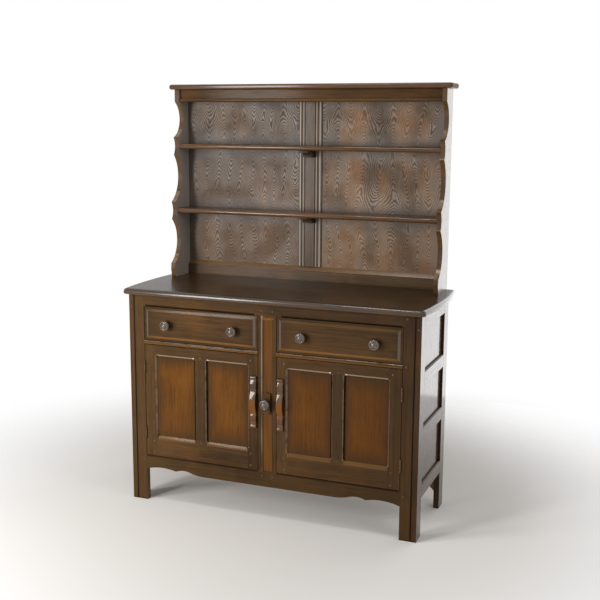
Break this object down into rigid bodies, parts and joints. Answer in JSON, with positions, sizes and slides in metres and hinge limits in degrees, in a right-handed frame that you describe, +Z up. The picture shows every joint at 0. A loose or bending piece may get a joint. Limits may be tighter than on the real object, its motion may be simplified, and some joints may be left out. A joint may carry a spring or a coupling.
{
  "type": "open-rack dresser",
  "caption": "Dark wooden dresser: sideboard base with drawers over panelled doors and a turn button, and an open plate rack with scalloped sides and shelves above.",
  "frame": {"origin": "on the floor, under the middle of the bounding box", "axes": "+X to the viewer's right, +Y to the back, +Z up; doors and drawers face -Y"},
  "size_m": [1.22, 0.491, 1.626],
  "materials": {
    "frame_wood": "dark stain, glossy polish",
    "panel_wood": "red-brown stain, glossy polish",
    "rack_veneer": "figured veneer, glossy polish",
    "inner_wood": "bare, matt",
    "hinge_brass": "tarnished",
    "plate_steel": "dull"
  },
  "bodies": {
    "cabinet": {"base_back_panel": "inner_wood", "base_top": "frame_wood", "centre_muntin": "frame_wood", "cupboard_battens": "inner_wood", "cupboard_floor": "frame_wood", "cupboard_shelf": "frame_wood", "drawer_kickers": "inner_wood", "drawer_rails": "frame_wood", "drawer_runners": "inner_wood", "frame_hinge_leaves": "hinge_brass", "frame_pegs": "frame_wood", "front_apron": "frame_wood", "front_top_rail": "frame_wood", "hinge_pins": "hinge_brass", "left_front_stile": "frame_wood", "left_side_posts": "frame_wood", "lower_shelf": "frame_wood", "rack_back_panels": "rack_veneer", "rack_bottom_rail": "frame_wood", "rack_fixing_plates": "plate_steel", "rack_fixing_screws": "plate_steel", "rack_frieze": "frame_wood", "rack_left_side": "frame_wood", "rack_muntin": "frame_wood", "rack_right_side": "frame_wood", "rack_side_plugs": "frame_wood", "rack_top": "frame_wood", "rear_rails": "inner_wood", "right_front_stile": "frame_wood", "right_side_posts": "frame_wood", "shelf_brackets": "frame_wood", "side_panels": "panel_wood", "side_rails": "frame_wood", "upper_shelf": "frame_wood"},
    "left_door": {"left_door_handle": "frame_wood", "left_door_hinge_leaves": "hinge_brass", "left_door_muntin": "frame_wood", "left_door_panels": "panel_wood", "left_door_pegs": "frame_wood", "left_door_rails": "frame_wood", "left_door_stiles": "frame_wood"},
    "left_drawer": {"left_drawer_back": "inner_wood", "left_drawer_bottom": "inner_wood", "left_drawer_front": "frame_wood", "left_drawer_knobs": "frame_wood", "left_drawer_sides": "inner_wood"},
    "right_door": {"right_door_handle": "frame_wood", "right_door_hinge_leaves": "hinge_brass", "right_door_muntin": "frame_wood", "right_door_panels": "panel_wood", "right_door_pegs": "frame_wood", "right_door_rails": "frame_wood", "right_door_stiles": "frame_wood"},
    "right_drawer": {"right_drawer_back": "inner_wood", "right_drawer_bottom": "inner_wood", "right_drawer_front": "frame_wood", "right_drawer_knobs": "frame_wood", "right_drawer_sides": "inner_wood"},
    "turn_button": {"turn_button_bar": "frame_wood", "turn_button_knob": "frame_wood"}
  },
  "joints": [
    {"name": "left_door_swing", "type": "hinge", "parent": "cabinet", "child": "left_door", "pos_m": [-0.515, -0.21, 0.4105], "axis": [0, 0, -1], "range_deg": [0, 165]},
    {"name": "right_door_swing", "type": "hinge", "parent": "cabinet", "child": "right_door", "pos_m": [0.515, -0.21, 0.4105], "axis": [0, 0, 1], "range_deg": [0, 165]},
    {"name": "left_drawer_slide", "type": "slide", "parent": "cabinet", "child": "left_drawer", "axis": [0, -1, 0], "range_m": [0, 0.28]},
    {"name": "right_drawer_slide", "type": "slide", "parent": "cabinet", "child": "right_drawer", "axis": [0, -1, 0], "range_m": [0, 0.28]},
    {"name": "turn_button_turn", "type": "hinge", "parent": "cabinet", "child": "turn_button", "pos_m": [0, -0.213, 0.453], "axis": [0, -1, 0], "range_deg": [0, 90]}
  ]
}
